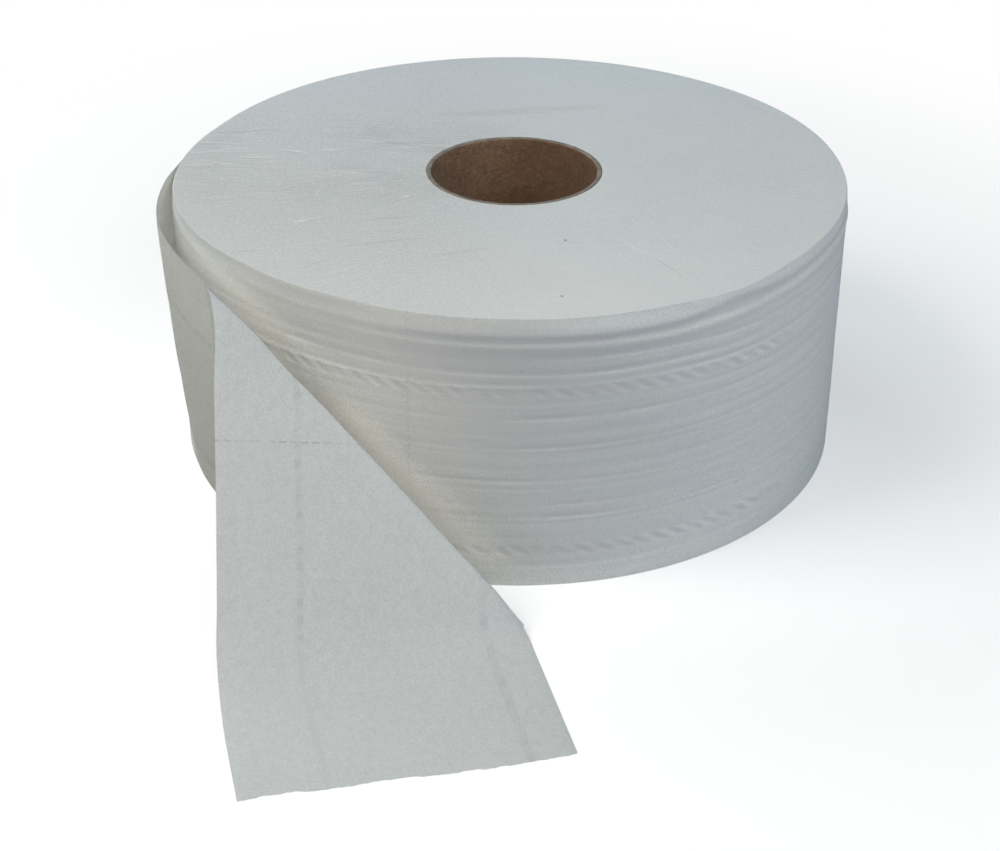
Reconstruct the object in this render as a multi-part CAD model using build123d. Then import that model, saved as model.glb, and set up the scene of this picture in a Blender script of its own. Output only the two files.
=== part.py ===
from build123d import *
from math import acos, atan2, cos, degrees, pi, radians, sin, sqrt
import os

# Jumbo toilet paper roll, standing on its end with its axis on Z and its lower end at Z = 0.
# Sizes are in millimetres and degrees. Angles round the roll run anticlockwise from +X, seen
# from above, and the paper is wound that way too, so the loose end travels anticlockwise.

# Cardboard core
core_bore = 60.0
core_wall = 1.8
glue_line = 0.1  # between the core and the first turn

# Wound paper
roll_radius = 120.0
web_width = 100.0
sheet = 0.4  # thickness of the loose two-ply web
rim_draw = 0.5  # how far the cut rims are drawn in from the roll's side
rim_height = 2.0
band_depth = 0.4  # tight bands round the side, where the winding pulled harder
band_pitch = 16.0
top_band = 7.5  # from the upper rim down to the first tight band
ring_depth = 0.15  # shallow rings on the sawn ends, one for each group of turns
ring_pitch = 17.0

# Outer turns that have slackened beside the place where the web leaves the roll
slack = 3.2  # how far they stand out
slack_angle = 191.0
slack_radius = 104.0  # of their curve, which is tighter than the roll's own

# Loose outer turn, which stands on its edge round the left of the roll
lift_angle = 170.0  # where the web leaves the roll
tuck = 1.0  # how deep its root lies in the winding
foot_gap = 3.3  # from the roll's side to the web's lower edge
apex_angle = 224.7  # upper corner of the fold
apex_gap = 18.2  # from the roll's side to that corner
edge_wave = 1.2  # how far the upper edge waves on its way there
corner_ease = 1.5  # the upper edge starts to round this many degrees before the corner

# Fold, which turns the web forward along a slanting line from the apex to the table
corner_angle = 271.2  # lower corner of the fold
corner_gap = 26.3  # from the roll's side to that corner
corner_lift = 2.5
fold_radius_top = 1.5
fold_radius_foot = 2.5

# Tail, which slopes down from the fold and then lies on the table
slope_bow = 1.3  # how far the slope's left edge is pulled in below the apex
tail_heading = 283.4
landing_offset = 7.0  # from the fold's lower corner to where the right edge meets the table
landing_skew = 5.0  # the left edge meets the table this much further out
landing_ease_left = 28.0  # length over which each edge curves onto the table, each way
landing_ease_right = 4.0
tail_reach = 56.0  # length that lies on the table, along the right edge

# Perforations, one row for each sheet of paper; the torn end is a broken row
sheet_length = 127.7
row_skew = 3.8  # the rows are this many degrees off square to the web's edges
slit_length = 2.5
slit_width = 0.3
slit_pitch = 3.5

# Steps along the web in each stretch
turn_steps = 16
gusset_steps = 8
fold_steps = 10
slope_steps = 8
landing_steps = 8

core_radius = core_bore / 2 + core_wall
eye_radius = core_radius + glue_line


def polar(radius, angle, height=0.0):
    """A point at an angle round the roll."""
    return Vector(radius * cos(radians(angle)), radius * sin(radians(angle)), height)


def between(start, end, share):
    return start + (end - start) * share


def square_to(vector, axis):
    """The unit part of a vector that is square to an axis."""
    axis = axis.normalized()
    return (vector - axis * vector.dot(axis)).normalized()


def eased(start, corner, end, share):
    """A point on the curve that leaves start towards corner and arrives at end from it."""
    return between(between(start, corner, share), between(corner, end, share), share)


def core_tube():
    """Cardboard tube, as long as the paper is wide."""
    wall = Pos(core_bore / 2, 0) * Rectangle(core_wall, web_width, align=(Align.MIN, Align.MIN))
    return revolve(Plane.XZ * wall, Axis.Z)


def sawn_end(height, inward):
    """Profile points of a sawn end from the core outwards, where groups of turns alternate.

    Every second group is sunk by the ring depth; inward is -1 at the top and 1 at the bottom.
    """
    rim = roll_radius - rim_draw
    groups = int((rim - eye_radius) / ring_pitch / 2) * 2 + 1
    sunk = height + inward * ring_depth
    points = [(eye_radius, height)]
    for group in range(groups - 1, 0, -1):
        radius = rim - ring_pitch * group
        if radius > eye_radius:
            levels = (height, sunk) if group % 2 == 0 else (sunk, height)
            points += [(radius, level) for level in levels]
    return points + [(rim, height)]


def banded_side():
    """Profile points of the roll's side from the top down, drawn in at each tight band."""
    bands = int((web_width - top_band - rim_height) / band_pitch) + 1
    heights = [web_width - top_band - band_pitch * k for k in range(bands)]
    points = [(roll_radius, web_width - rim_height)]
    for height in heights:
        points.append((roll_radius - band_depth, height))
        points.append((roll_radius, height - band_pitch / 2))
    return points[:-1] + [(roll_radius, rim_height)]


def wound_paper():
    """All turns that are still tight on the core."""
    outline = sawn_end(web_width, -1) + banded_side() + sawn_end(0.0, 1)[::-1]
    return revolve(Plane.XZ * make_face(Polyline(*outline, close=True)), Axis.Z)


def slack_turns():
    """The slackened turns, as a crescent against the tight ones."""
    centre = polar(roll_radius + slack - slack_radius, slack_angle)
    crescent = Pos(centre) * Circle(slack_radius) - Circle(roll_radius - slack)
    return extrude(crescent, web_width)


# The web is described by its rulings: straight lines across it, each from the web's lower
# edge, which becomes the tail's right edge, to its upper edge, which becomes the left one.
out = polar(1, tail_heading)
leftwards = polar(1, tail_heading - 90)
apex_lean = apex_gap - foot_gap
apex = polar(roll_radius + apex_gap, apex_angle, sqrt(web_width**2 - apex_lean**2))
corner = polar(roll_radius + corner_gap, corner_angle, corner_lift)
on_table = Vector(0, 0, sheet / 2)
right_landing = polar(roll_radius + corner_gap, corner_angle) + out * landing_offset + on_table
left_landing = right_landing + leftwards * web_width + out * landing_skew
right_end = right_landing + out * tail_reach
left_end = right_end + leftwards * web_width


def turn_rulings():
    """The loose turn, which leaves the roll and leans outwards more and more."""
    rulings = []
    for step in range(turn_steps + 1):
        share = step / turn_steps
        angle = lift_angle + (apex_angle - corner_ease - lift_angle) * share
        root = roll_radius - tuck
        foot = root + (tuck + foot_gap) * (1 - (1 - share) ** 3)
        head = root + (tuck + apex_gap) * share + edge_wave * sin(2 * pi * share**1.7)
        height = sqrt(web_width**2 - (head - foot) ** 2)
        rise = sheet / 2 * abs(head - foot) / web_width
        rulings.append((polar(foot, angle, rise), polar(head, angle, height)))
    return rulings


def fold_rulings():
    """The fold, a soft bend that is tight at the apex and wider near the table."""
    line = corner - apex
    entering = square_to(apex - polar(roll_radius + foot_gap, apex_angle), line)
    leaving = square_to(left_landing - apex, line)
    crest = (entering - leaving).normalized()
    along = (entering + leaving).normalized()
    turn = acos(entering.dot(leaving))
    rulings = []
    for step in range(fold_steps + 1):
        angle = turn * (step / fold_steps - 0.5)
        swing = crest * (cos(angle) - 1) + along * sin(angle)
        rulings.append((corner + swing * fold_radius_foot, apex + swing * fold_radius_top))
    return rulings


def gusset_rulings(start, end):
    """The standing stretch behind the tail: its foot moves out while its top hardly moves."""
    foot, head = end
    start_radius = roll_radius + foot_gap
    end_radius = sqrt(foot.X**2 + foot.Y**2)
    start_angle = apex_angle - corner_ease
    end_angle = degrees(atan2(foot.Y, foot.X)) % 360
    rulings = []
    for step in range(1, gusset_steps):
        share = step / gusset_steps
        radius = start_radius + (end_radius - start_radius) * share**2
        low = polar(radius, start_angle + (end_angle - start_angle) * share, start[0].Z + foot.Z * share**4)
        rulings.append((low, between(start[1], head, share)))
    return rulings


def tail_rulings(start):
    """The slope, its easy curve onto the table, and the stretch that lies flat."""
    right_start = right_landing + (start[0] - right_landing).normalized() * landing_ease_right
    left_start = left_landing + (start[1] - left_landing).normalized() * landing_ease_left
    right_flat = right_landing + out * landing_ease_right
    left_flat = left_landing + out * landing_ease_left
    rulings = []
    for step in range(1, slope_steps):
        share = (step / slope_steps) ** 1.5
        bow = leftwards * -slope_bow * sin(pi * share**0.4)
        rulings.append((between(start[0], right_start, share), between(start[1], left_start, share) + bow))
    for step in range(landing_steps + 1):
        share = step / landing_steps
        low = eased(right_start, right_landing, right_flat, share)
        high = eased(left_start, left_landing, left_flat, share)
        rulings.append((low, high))
    return rulings + [(right_end, left_end)]


def web_rulings():
    """All rulings, from the root of the loose turn to the torn end."""
    turn = turn_rulings()
    fold = fold_rulings()
    return turn + gusset_rulings(turn[-1], fold[0]) + fold + tail_rulings(fold[-1])


def normal_at(rulings, index):
    """The direction out of the paper at a ruling."""
    low, high = rulings[index]
    before = rulings[max(index - 1, 0)]
    after = rulings[min(index + 1, len(rulings) - 1)]
    travel = (after[0] + after[1]) - (before[0] + before[1])
    return travel.cross(high - low).normalized()


def facet(*corners):
    return make_face(Polyline(*corners, close=True))


def loose_web(rulings):
    """The loose paper, as flat facets from a thin section at each ruling to the next one."""
    sections = []
    for index, (low, high) in enumerate(rulings):
        half = normal_at(rulings, index) * (sheet / 2)
        sections.append((low - half, high - half, high + half, low + half))
    facets = [facet(*sections[0]), facet(*sections[-1])]
    for start, end in zip(sections, sections[1:]):
        for a, b in ((0, 1), (3, 2), (1, 2), (0, 3)):
            facets.append(facet(start[a], start[b], end[b]))
            facets.append(facet(start[a], end[b], end[a]))
    return Solid(Shell(facets))


def edge_plane(rulings, distance):
    """A plane on the tail's left edge, that far from its end: X runs across the tail."""
    index = len(rulings) - 1
    back = rulings[index - 1][1] - rulings[index][1]
    while distance > back.length:
        distance -= back.length
        index -= 1
        back = rulings[index - 1][1] - rulings[index][1]
    up = back.cross(rulings[index][0] - rulings[index][1])
    origin = rulings[index][1] + back.normalized() * distance
    return Plane(origin=origin, x_dir=up.cross(back), z_dir=up)


def width_to_fold(row, crease):
    """How wide the tail is along a row of slits that ends at the fold."""
    low, high = (row.to_local_coords(point) for point in crease)
    return high.X + (low.X - high.X) * high.Y / (high.Y - low.Y)


def slits(row, width):
    """Short cuts in a line across the tail, from its left edge."""
    cut = Box(slit_length, slit_width, 3 * sheet)
    return [row * Pos(slit_pitch * (k + 0.5), 0) * cut for k in range(int(width / slit_pitch))]


def paper_roll():
    """The wound paper and its loose end, which are one length of web."""
    rulings = web_rulings()
    perforation = edge_plane(rulings, sheet_length).rotated((0, 0, row_skew))
    torn_end = edge_plane(rulings, 0)
    paper = wound_paper() + slack_turns() + loose_web(rulings)
    paper -= slits(perforation, width_to_fold(perforation, fold_rulings()[-1]))
    return paper - slits(torn_end, web_width)


os.makedirs("parts", exist_ok=True)
for name, solid in {"core_tube": core_tube(), "paper_roll": paper_roll()}.items():
    export_step(solid, f"parts/{name}.step")
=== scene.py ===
import math

import bpy
import numpy as np
from mathutils import Matrix, Vector, noise

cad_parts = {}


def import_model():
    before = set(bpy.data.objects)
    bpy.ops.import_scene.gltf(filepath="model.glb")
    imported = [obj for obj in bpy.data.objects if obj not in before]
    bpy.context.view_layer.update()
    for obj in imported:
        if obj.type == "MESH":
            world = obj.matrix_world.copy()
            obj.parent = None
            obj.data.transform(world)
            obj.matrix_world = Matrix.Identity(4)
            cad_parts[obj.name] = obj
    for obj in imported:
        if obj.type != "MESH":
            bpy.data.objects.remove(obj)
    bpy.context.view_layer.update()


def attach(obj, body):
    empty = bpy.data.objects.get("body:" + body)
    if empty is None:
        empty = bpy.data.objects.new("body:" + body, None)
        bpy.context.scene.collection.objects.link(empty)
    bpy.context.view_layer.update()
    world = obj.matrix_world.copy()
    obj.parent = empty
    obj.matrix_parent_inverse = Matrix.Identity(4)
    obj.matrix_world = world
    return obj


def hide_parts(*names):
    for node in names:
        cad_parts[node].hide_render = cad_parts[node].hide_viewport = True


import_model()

# A jumbo toilet paper roll on its end, with its loose last turn folded forward over a slanting
# fold. Lengths are in metres unless a line says millimetres, angles are in degrees, and they run
# anticlockwise from +X, seen from above.

MM = 0.001

# Sizes that the CAD source also has
CORE_BORE = 0.0600
CORE_WALL = 0.0018
GLUE_LINE = 0.0001
ROLL_RADIUS = 0.1200
WEB_WIDTH = 0.1000
SHEET = 0.0004
LIFT_ANGLE = 170.0
TUCK = 0.0010
FOOT_GAP = 0.0033
APEX_ANGLE = 224.7
APEX_GAP = 0.0182
EDGE_WAVE = 0.0012
CORNER_EASE = 1.5
CORNER_ANGLE = 271.2
CORNER_GAP = 0.0263
CORNER_LIFT = 0.0025
SLOPE_BOW = 0.0013
TAIL_HEADING = 283.4
LANDING_OFFSET = 0.0070
LANDING_SKEW = 0.0050
LANDING_EASE_LEFT = 0.0280
LANDING_EASE_RIGHT = 0.0040
TAIL_REACH = 0.0560
SHEET_LENGTH = 0.1277
ROW_SKEW = 3.8
SLIT_PITCH = 0.0035
SLACK = 0.0032
SLACK_ANGLE = 191.0
SLACK_RADIUS = 0.1040

# The fold is tighter than in the CAD source, and the web thinner
FOLD_RADIUS_TOP = 0.0006
FOLD_RADIUS_FOOT = 0.0012
THINNING = 0.8

CORE_RADIUS = CORE_BORE / 2 + CORE_WALL
EYE_RADIUS = CORE_RADIUS + GLUE_LINE

# Where the two lines of ply bonding run, above the web's lower edge
BOND_LOW = 0.0138
BOND_HIGH = 0.0735
# How far apart the marks are along those lines: the small lozenges, the spots of the tail's upper
# line, the groups of the others, and the broad strokes on the side
LOZENGE_PITCH = 0.00108
SPOT_PITCH = 0.0056
GROUP_PITCH = 0.0088
STROKE_PITCH = 0.0068

# Places round the side: angles, and distances along it from +X
DEEPEST_ANGLE = 306.0  # of the deepest groove's crook
FOLD_SIDE = 223.0  # beside the fold's top corner
ROW_ANGLE = 253.3  # of the row of perforations that shows, a little left of the front
WORN_RUN = 0.692  # where the bonding is worn off
WARM_LIGHT_RUN = 0.520  # where a warm cast of light is painted

# How finely the roll, the core and the web are divided
ROLL_COLUMNS = 384
FACE_ROWS = 32
SIDE_ROWS = 186
CORE_COLUMNS = 360
WEB_COLUMNS = 96
TURN_STEPS = 72
GUSSET_STEPS = 30
FOLD_STEPS = 20
SLOPE_STEPS = 40
LANDING_STEPS = 26
FLAT_STEPS = 34


def heading(angle):
    """The unit direction at an angle round the roll."""
    return math.cos(math.radians(angle)), math.sin(math.radians(angle))


def polar(radius, angle, height=0.0):
    """A point at an angle round the roll."""
    x, y = heading(angle)
    return Vector((radius * x, radius * y, height))


def between(start, end, share):
    return start + (end - start) * share


def square_to(vector, axis):
    """The unit part of a vector that is square to an axis."""
    axis = axis.normalized()
    return (vector - axis * vector.dot(axis)).normalized()


def eased(start, corner, end, share):
    """A point on the curve that leaves start towards corner and arrives at end from it."""
    return between(between(start, corner, share), between(corner, end, share), share)


def swell(x, y, z, seed=0.0):
    """Smooth noise between about -1 and 1."""
    return noise.noise(Vector((x + 17.3 * seed, y - 9.1 * seed, z + 4.7 * seed)))


def smooth(low, high, x):
    """A smooth rise from 0 at low to 1 at high, or a fall where high is the lower one."""
    t = min(max((x - low) / (high - low), 0.0), 1.0)
    return t * t * (3 - 2 * t)


def bell(x, at, half):
    return math.exp(-(((x - at) / half) ** 2))


def turned_from(angle, other):
    """The signed difference of two angles, from -180 to 180."""
    return (angle - other + 180.0) % 360.0 - 180.0


def lobe(angle, at, half):
    """A bell round the roll."""
    return bell(turned_from(angle, at), 0.0, half)


# Meshes


def quad_mesh(name, places, faces, uvs):
    """A smooth mesh of quads; uvs says where each of their corners is on the flat paper."""
    mesh = bpy.data.meshes.new(name)
    mesh.from_pydata(places, [], faces)
    layer = mesh.uv_layers.new(name="flat")
    layer.data.foreach_set("uv", np.array(uvs, dtype=np.float32).ravel())
    mesh.polygons.foreach_set("use_smooth", [True] * len(mesh.polygons))
    mesh.update()
    return mesh


def lathed_mesh(name, rings, uvs):
    """A mesh over closed rings of points; each row of uvs has one place more than its ring."""
    cols = len(rings[0])
    faces, corners = [], []
    for r in range(len(rings) - 1):
        for c in range(cols):
            d = (c + 1) % cols
            faces.append((r * cols + c, r * cols + d, (r + 1) * cols + d, (r + 1) * cols + c))
            corners += [uvs[r][c], uvs[r][c + 1], uvs[r + 1][c + 1], uvs[r + 1][c]]
    return quad_mesh(name, [point for ring in rings for point in ring], faces, corners)


def new_object(name, mesh, node):
    piece = bpy.data.objects.new(name, mesh)
    bpy.context.scene.collection.objects.link(piece)
    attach(piece, "root")
    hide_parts(node)
    return piece


# Grooves that the tight winding leaves in the side: height, depth and half-width in millimetres,
# then how much the height and the depth wander round the roll.
GROOVES = (
    (86.2, 0.20, 0.8, 1.0, 0.6),
    (81.6, 0.26, 0.8, 1.0, 0.6),
    (77.4, 0.24, 0.7, 1.0, 0.6),
    (70.0, 0.13, 0.7, 1.1, 0.7),
    (65.0, 0.22, 0.7, 0.9, 0.6),
    (59.0, 0.10, 0.9, 1.3, 0.8),
    (53.9, 0.20, 0.6, 0.8, 0.6),
    (51.2, 0.14, 0.5, 0.9, 0.7),
    (45.5, 0.10, 0.8, 1.2, 0.8),
    (41.6, 0.18, 0.6, 0.8, 0.7),
    (38.6, 0.13, 0.5, 0.9, 0.7),
    (32.5, 0.09, 0.8, 1.2, 0.8),
    (27.4, 0.18, 0.6, 0.8, 0.6),
    (24.9, 0.13, 0.5, 0.8, 0.7),
    (19.0, 0.09, 0.8, 1.0, 0.8),
    (9.0, 0.18, 1.0, 1.0, 0.6),
)
# Places where the rim stands out or in: angle, reach in millimetres and half-width in degrees
RIM_PLACES = ((306.0, 1.9, 8.0), (281.0, 0.6, 12.0), (241.0, -1.0, 9.0), (330.0, -0.5, 10.0))
# Places on the side with painted shade or, below 0, painted light: how much, then the angle
# and its half-width in degrees, then the height and its half-width in millimetres
PATCHES = (
    # Painted shade on the front, most of all under the deepest groove
    (0.80, 268.0, 30.0, 91.0, 6.5),
    (0.50, 268.0, 30.0, 62.0, 24.0),
    (0.45, 258.0, 26.0, 84.0, 8.0),
    (-0.50, 307.0, 20.0, 10.0, 16.0),
    # Painted light under the rim in front, and painted shade beside the loose web
    (-1.25, 288.0, 12.0, 97.0, 2.8),
    (-0.15, 269.0, 12.0, 97.0, 2.8),
    (0.70, 238.0, 13.0, 97.5, 2.2),
    # Painted light beside the fold and, most, where the web leaves; painted shade right of the fold
    (-0.50, 226.0, 7.0, 80.0, 7.0),
    (0.80, 236.0, 12.0, 84.0, 18.0),
    (-2.60, 198.0, 9.0, 87.5, 4.0),
)


def slack_out(angle):
    """How far the slackened turns stand out at an angle, in millimetres."""
    away = math.radians(turned_from(angle, SLACK_ANGLE))
    if abs(away) > 1.2:
        return 0.0
    shift = ROLL_RADIUS + SLACK - SLACK_RADIUS
    reach = shift * math.cos(away) + math.sqrt(SLACK_RADIUS**2 - (shift * math.sin(away)) ** 2)
    over = (reach - ROLL_RADIUS) / MM
    return 0.5 * (over + math.sqrt(over * over + 0.03))


def groove_shape(height, x, y, rightness):
    """The depth of the grooves at a place on the side, and their painted shade and highlights."""
    depth = painted_shade = 0.0
    for k, (at, deep, half, wander, vary) in enumerate(GROOVES, 1):
        at += wander * swell(1.3 * x, 1.3 * y, k * 3.7, 1)
        deep *= 1 + vary * swell(2.1 * x, 2.1 * y, k * 5.1, 2)
        deep *= (0.30 + 0.60 * rightness) * (1 + 1.2 * swell(5.5 * x, 5.5 * y, k * 2.3, 9))
        # The paper is drawn in slowly above a groove and stands out again at once below it
        t = (height - at) / half + 1.4
        t = t / 2.0 if t > 0 else t / 0.6
        depth += deep * math.exp(-t * t)
        # Painted shade over each groove, and a painted highlight just below it
        shaded = 1.8 * bell(height, at, 1.3 * half)
        painted_shine = 2.6 * bell(height, at - 1.9 * half, 0.6 * half)
        painted_shade += deep * (shaded - painted_shine)
    return depth, painted_shade


def side_shape(angle, height):
    """How far the side is drawn in, in millimetres, and its painted shade (or painted light, below
    0).
    """
    x, y = heading(angle)
    rightness = smooth(-0.75, 0.75, x)
    depth, painted_shade = groove_shape(height, x, y, rightness)
    depth -= slack_out(angle)
    # The deepest groove and the ridge under it, which both climb towards the right
    past = turned_from(angle, DEEPEST_ANGLE)
    climb = 2.2 * smooth(-12.0, 4.0, past) * (1 - smooth(110.0, 160.0, past))
    drift = swell(1.3 * x, 1.3 * y, 0.0, 1)
    deepest = 92.4 + climb + 2.2 * bell(past, 0.0, 8.0) + 0.5 * drift
    ridge = 90.4 + climb + 0.3 * drift
    strong = (0.04 + 1.0 * rightness) * (1 + 0.3 * swell(2.1 * x, 2.1 * y, 0.0, 2))
    depth += strong * 0.55 * bell(height, deepest, 1.8)
    depth -= strong * (0.04 + 0.40 * rightness) * bell(height, ridge, 0.9)
    # Painted shade in the deepest groove, a painted highlight on the ridge, painted shade below it
    painted_shade += strong * 1.1 * bell(height, deepest, 1.2 + 0.8 * bell(past, 0.0, 10.0))
    painted_shade -= strong * 1.6 * bell(height, ridge, 0.35 + 0.95 * rightness)
    painted_shade += strong * 0.5 * bell(height, ridge - 2.4, 1.3)
    for amount, turn, wide, level, tall in PATCHES:
        painted_shade += amount * lobe(angle, turn, wide) * bell(height, level, tall)
    # Painted shade over the front, all but the foot
    painted_shade += 1.25 * lobe(angle, 275.0, 30.0) * smooth(-5.0, 15.0, height)
    # Beside the loose web a band of painted light runs down from the rim, and below it the side is
    # painted lighter; painted shade lies under the rim further left
    past = turned_from(angle, FOLD_SIDE)
    near = bell(past, 0.0, 17.0)
    fallen = 0.62 * past
    painted_shade -= 1.3 * near * bell(height, 87.0 - fallen, 3.6)
    painted_shade -= 1.6 * near * smooth(90.0 - fallen, 80.0 - fallen, height)
    painted_shade += bell(past, -20.0, 15.0) * smooth(90.5, 94.0, height)
    # A band that slants close behind the tail is painted lighter, against the tail's shadow
    low = smooth(50.0, 35.0, height)
    painted_light_band = (3.0 + 1.5 * low) * bell(past, 20.0 + 0.40 * (60.0 - height), 4.0 + 1.5 * low)
    painted_shade -= painted_light_band * smooth(69.0, 55.0, height) * (0.2 + 0.8 * smooth(2.0, 16.0, height))
    # The topmost band leans in towards the rim and is painted lighter; then broad, soft fullness,
    # and fine hoops, with painted shade and light in thin bands
    band = smooth(deepest + 0.5, deepest + 3.0, height)
    depth += 0.5 * band * smooth(deepest, 100.0, height)
    painted_shade -= (0.05 + 0.75 * rightness) * band
    depth += 0.30 * swell(1.6 * x, 1.6 * y, height / 34.0, 3)
    depth += 0.05 * swell(6.0 * x, 6.0 * y, height / 2.6, 4)
    painted_shade += 0.25 * swell(3.0 * x, 3.0 * y, height / 1.6, 7) * (0.4 + rightness)
    for turn, reach, half in RIM_PLACES:
        depth -= smooth(60, 100, height) * reach * lobe(angle, turn, half)
    return depth, painted_shade


def side_radius(angle, height):
    """How far the side is from the axis, in millimetres."""
    return ROLL_RADIUS / MM - side_shape(angle, height)[0]


def shoulder(angle):
    """How far the sawn ends' rims are drawn in, in millimetres."""
    x, y = heading(angle)
    return 0.12 + 0.6 * lobe(angle, 179.0, 9.0) + 0.08 * swell(3 * x, 3 * y, 0.0, 5)


def face_height(x, y):
    """How far the upper sawn face rises, in millimetres, at a place in metres."""
    radius = math.hypot(x, y)
    broad = swell(x / 0.05, y / 0.05, 0.0, 8)
    drag = swell(x / 0.055, y / 0.011, 0.0, 6)
    edge = smooth(0.032, 0.045, radius) * (1 - smooth(0.108, 0.119, radius))
    return edge * (0.10 * drag + 0.22 * broad)


ROUND_OVER = 0.5  # of the edges of the sawn ends, in millimetres
ROUND_SHARES = (0.0, 0.15, 0.35, 0.65, 1.0)
FOOT_SHARES = (1.0, 0.97, 0.9, 0.75, 0.5, 0.25, 0.0)


def roll_mesh():
    """The wound turns as one lathed skin: side, both shoulders, both sawn ends and the eye."""
    angles = [360.0 * c / ROLL_COLUMNS for c in range(ROLL_COLUMNS)]
    seam = [math.radians(a) * ROLL_RADIUS for a in angles] + [math.tau * ROLL_RADIUS]
    width, eye = WEB_WIDTH / MM, EYE_RADIUS / MM
    rim, foot = ([side_radius(a, end) - shoulder(a) for a in angles] for end in (width, 0.0))
    rings, uvs = [], []

    def ring(radii, height, rise=lambda x, y: 0.0):
        """Adds a ring at a height in millimetres, raised by what rise says at each place."""
        places = [polar(radius * MM, a) for radius, a in zip(radii, angles)]
        for place in places:
            place.z = (height + rise(place.x, place.y)) * MM
        rings.append(places)
        uvs.append([(run, height * MM) for run in seam])

    def edge_rings(upper):
        """Adds the rounded edge between the side and a sawn end, from the top down."""
        for share in ROUND_SHARES if upper else ROUND_SHARES[::-1]:
            level = ROUND_OVER * share
            height = width - level if upper else level
            drawn_in = 1 - math.cos(math.radians(90 * (1 - share)))
            ring([side_radius(a, height) - shoulder(a) * drawn_in for a in angles], height)

    for k in range(FACE_ROWS):
        ring([eye + (radius - eye) * k / FACE_ROWS for radius in rim], width, face_height)
    ring([radius - 0.3 for radius in rim], width)
    edge_rings(True)
    for k in range(1, SIDE_ROWS):
        # The rows lie closer together near the upper rim, where the deepest grooves are
        share = k / SIDE_ROWS
        share = 0.65 * share + 0.35 * share**2
        height = width - ROUND_OVER - (width - 2 * ROUND_OVER) * share
        ring([side_radius(a, height) for a in angles], height)
    edge_rings(False)
    for share in FOOT_SHARES:
        ring([eye + (radius - eye) * share * 0.999 for radius in foot], 0.0)
    ring([eye] * ROLL_COLUMNS, width / 2)
    rings.append(rings[0])
    uvs.append(uvs[0])
    mesh = lathed_mesh("wound_turns", rings[::-1], uvs[::-1])
    # The side's painted shade and light, kept on each point for its material
    painted_shade = []
    for vertex in mesh.vertices:
        x, y, z = vertex.co
        on_side = math.hypot(x, y) > 0.9 * ROLL_RADIUS
        angle = math.degrees(math.atan2(y, x))
        painted_shade.append(side_shape(angle, z / MM)[1] if on_side else 0.0)
    mesh.attributes.new("painted_shade", "FLOAT", "POINT").data.foreach_set("value", painted_shade)
    for poly in mesh.polygons:
        poly.material_index = int(abs(poly.normal.z) > 0.75)
    return mesh


# The core's upper edge from the bore outwards, in millimetres: the place across its wall, the
# height over the paper, and how ragged it is
CUT_EDGE = (
    (0.12, -0.10, 0.16),
    (0.45, 0.10, 0.22),
    (0.95, 0.02, 0.22),
    (1.45, 0.14, 0.22),
    (1.75, 0.05, 0.16),
)
BORE_HEIGHTS = (0.0, 25.0, 50.0, 75.0, 97.0, 99.2)
WALL_HEIGHTS = (99.0, 50.0, 0.0)
CUT_HEIGHT = 0.0994  # above which faces that don't stand upright belong to the cut edge


def core_mesh():
    """The cardboard core: its bore, its wall and its cut ends, of which the upper is ragged."""
    angles = [360.0 * c / CORE_COLUMNS for c in range(CORE_COLUMNS)]
    inner, outer = CORE_BORE / 2 / MM, CORE_RADIUS / MM

    def ragged(angle, seed):
        x, y = heading(angle)
        coarse, fine = swell(5 * x, 5 * y, 0, seed), swell(26 * x, 26 * y, 0, seed + 1)
        return 0.6 * coarse + 0.4 * fine

    rows = [[(inner, height)] * CORE_COLUMNS for height in BORE_HEIGHTS]
    for seed, (across, over, scale) in enumerate(CUT_EDGE, 11):
        level = WEB_WIDTH / MM + over
        rows.append([(inner + across, level + scale * ragged(a, seed)) for a in angles])
    rows += [[(outer, height)] * CORE_COLUMNS for height in WALL_HEIGHTS]
    rows.append(rows[0])
    rings = [[polar(r * MM, a, z * MM) for (r, z), a in zip(row, angles)] for row in rows]
    seam = [math.radians(a) * CORE_RADIUS for a in angles] + [math.tau * CORE_RADIUS]
    uvs = [[(run, row[0][1] * MM) for run in seam] for row in rows]
    mesh = lathed_mesh("core_board", rings[::-1], uvs[::-1])
    for poly in mesh.polygons:
        poly.material_index = int(poly.center.z > CUT_HEIGHT and abs(poly.normal.z) > 0.3)
    return mesh


# The loose web, by its rulings: straight lines across it, from its lower edge to its upper one

OUT = polar(1, TAIL_HEADING)
LEFTWARDS = polar(1, TAIL_HEADING - 90)
APEX_HEIGHT = math.sqrt(WEB_WIDTH**2 - (APEX_GAP - FOOT_GAP) ** 2)
APEX = polar(ROLL_RADIUS + APEX_GAP, APEX_ANGLE, APEX_HEIGHT)
CORNER = polar(ROLL_RADIUS + CORNER_GAP, CORNER_ANGLE, CORNER_LIFT)
RIGHT_LANDING = polar(ROLL_RADIUS + CORNER_GAP, CORNER_ANGLE, SHEET / 2) + OUT * LANDING_OFFSET
LEFT_LANDING = RIGHT_LANDING + LEFTWARDS * WEB_WIDTH + OUT * LANDING_SKEW
RIGHT_END = RIGHT_LANDING + OUT * TAIL_REACH
LEFT_END = RIGHT_END + LEFTWARDS * WEB_WIDTH


def turn_rulings():
    """The loose turn, which leaves the roll and leans outwards more and more."""
    rulings = []
    for step in range(TURN_STEPS + 1):
        share = step / TURN_STEPS
        angle = LIFT_ANGLE + (APEX_ANGLE - CORNER_EASE - LIFT_ANGLE) * share
        root = ROLL_RADIUS - TUCK
        foot = root + (TUCK + FOOT_GAP) * (1 - (1 - share) ** 3)
        head = root + (TUCK + APEX_GAP) * share + EDGE_WAVE * math.sin(math.tau * share**1.7)
        head -= MM * bell(share, 0.945, 0.05)
        height = math.sqrt(WEB_WIDTH**2 - (head - foot) ** 2)
        rise = SHEET / 2 * abs(head - foot) / WEB_WIDTH
        rulings.append((polar(foot, angle, rise), polar(head, angle, height)))
    return rulings


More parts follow.
